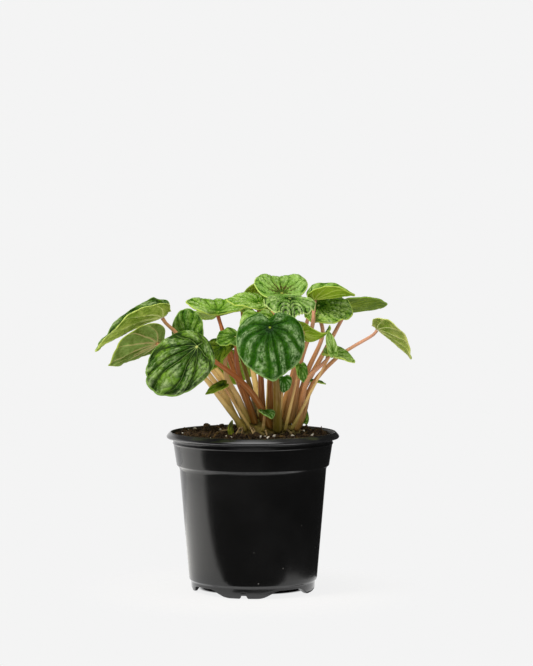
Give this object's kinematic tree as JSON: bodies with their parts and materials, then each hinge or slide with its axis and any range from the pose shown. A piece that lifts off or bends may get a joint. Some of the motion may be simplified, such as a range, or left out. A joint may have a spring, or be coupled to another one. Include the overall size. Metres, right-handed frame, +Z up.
{
  "type": "potted peperomia plant",
  "caption": "Rippled heart-shaped peperomia leaves on slender pinkish stalks rising from a crown in a round black nursery pot filled with potting soil.",
  "frame": {"origin": "centre of the pot's axis on the surface it stands on, which is also the middle of the whole plant's width and depth", "axes": "+Z up along the pot's axis, -Y towards the viewer of the picture, +X to that viewer's right"},
  "size_m": [0.2076, 0.1462, 0.2086],
  "materials": {
    "pot": "moulded black plastic with a soft sheen",
    "soil": "damp dark peat with pale perlite grains",
    "crown": "fleshy brown-green crown",
    "petiole": "smooth fleshy stalk, pinkish tan turning olive at the base",
    "leaf": "waxy rippled leaf with sunken dark veins, silvery streaks and a paler underside",
    "sprout": "young waxy leaf with its stalk"
  },
  "bodies": {
    "root": {"pot": "pot", "soil": "soil", "crown": "crown", "petiole_far_left": "petiole", "leaf_far_left": "leaf", "petiole_low_left": "petiole", "leaf_low_left": "leaf", "petiole_front_left": "petiole", "leaf_front_left": "leaf", "petiole_upright_left": "petiole", "leaf_upright_left": "leaf", "petiole_back_of_left": "petiole", "leaf_back_of_left": "leaf", "petiole_upper_left": "petiole", "leaf_upper_left": "leaf", "petiole_behind_top": "petiole", "leaf_behind_top": "leaf", "petiole_top": "petiole", "leaf_top": "leaf", "petiole_rippled_front": "petiole", "leaf_rippled_front": "leaf", "petiole_front_centre": "petiole", "leaf_front_centre": "leaf", "petiole_upper_right": "petiole", "leaf_upper_right": "leaf", "petiole_far_right_high": "petiole", "leaf_far_right_high": "leaf", "petiole_rippled_right": "petiole", "leaf_rippled_right": "leaf", "petiole_far_right": "petiole", "leaf_far_right": "leaf", "petiole_curled_right": "petiole", "leaf_curled_right": "leaf", "petiole_twisted_right": "petiole", "leaf_twisted_right": "leaf", "petiole_small_left": "petiole", "leaf_small_left": "leaf", "petiole_behind_centre": "petiole", "leaf_behind_centre": "leaf", "petiole_inner_left": "petiole", "leaf_inner_left": "leaf", "petiole_rear_low_left": "petiole", "leaf_rear_low_left": "leaf", "petiole_rear_top_left": "petiole", "leaf_rear_top_left": "leaf", "petiole_rear_centre": "petiole", "leaf_rear_centre": "leaf", "petiole_rear_right": "petiole", "leaf_rear_right": "leaf", "petiole_rear_low": "petiole", "leaf_rear_low": "leaf", "petiole_rear_left": "petiole", "leaf_rear_left": "leaf", "sprout_left": "sprout", "sprout_base": "sprout", "sprout_centre": "sprout", "sprout_right": "sprout", "sprout_edge": "sprout", "sprout_upright": "sprout", "sprout_low_right": "sprout"}
  },
  "joints": []
}
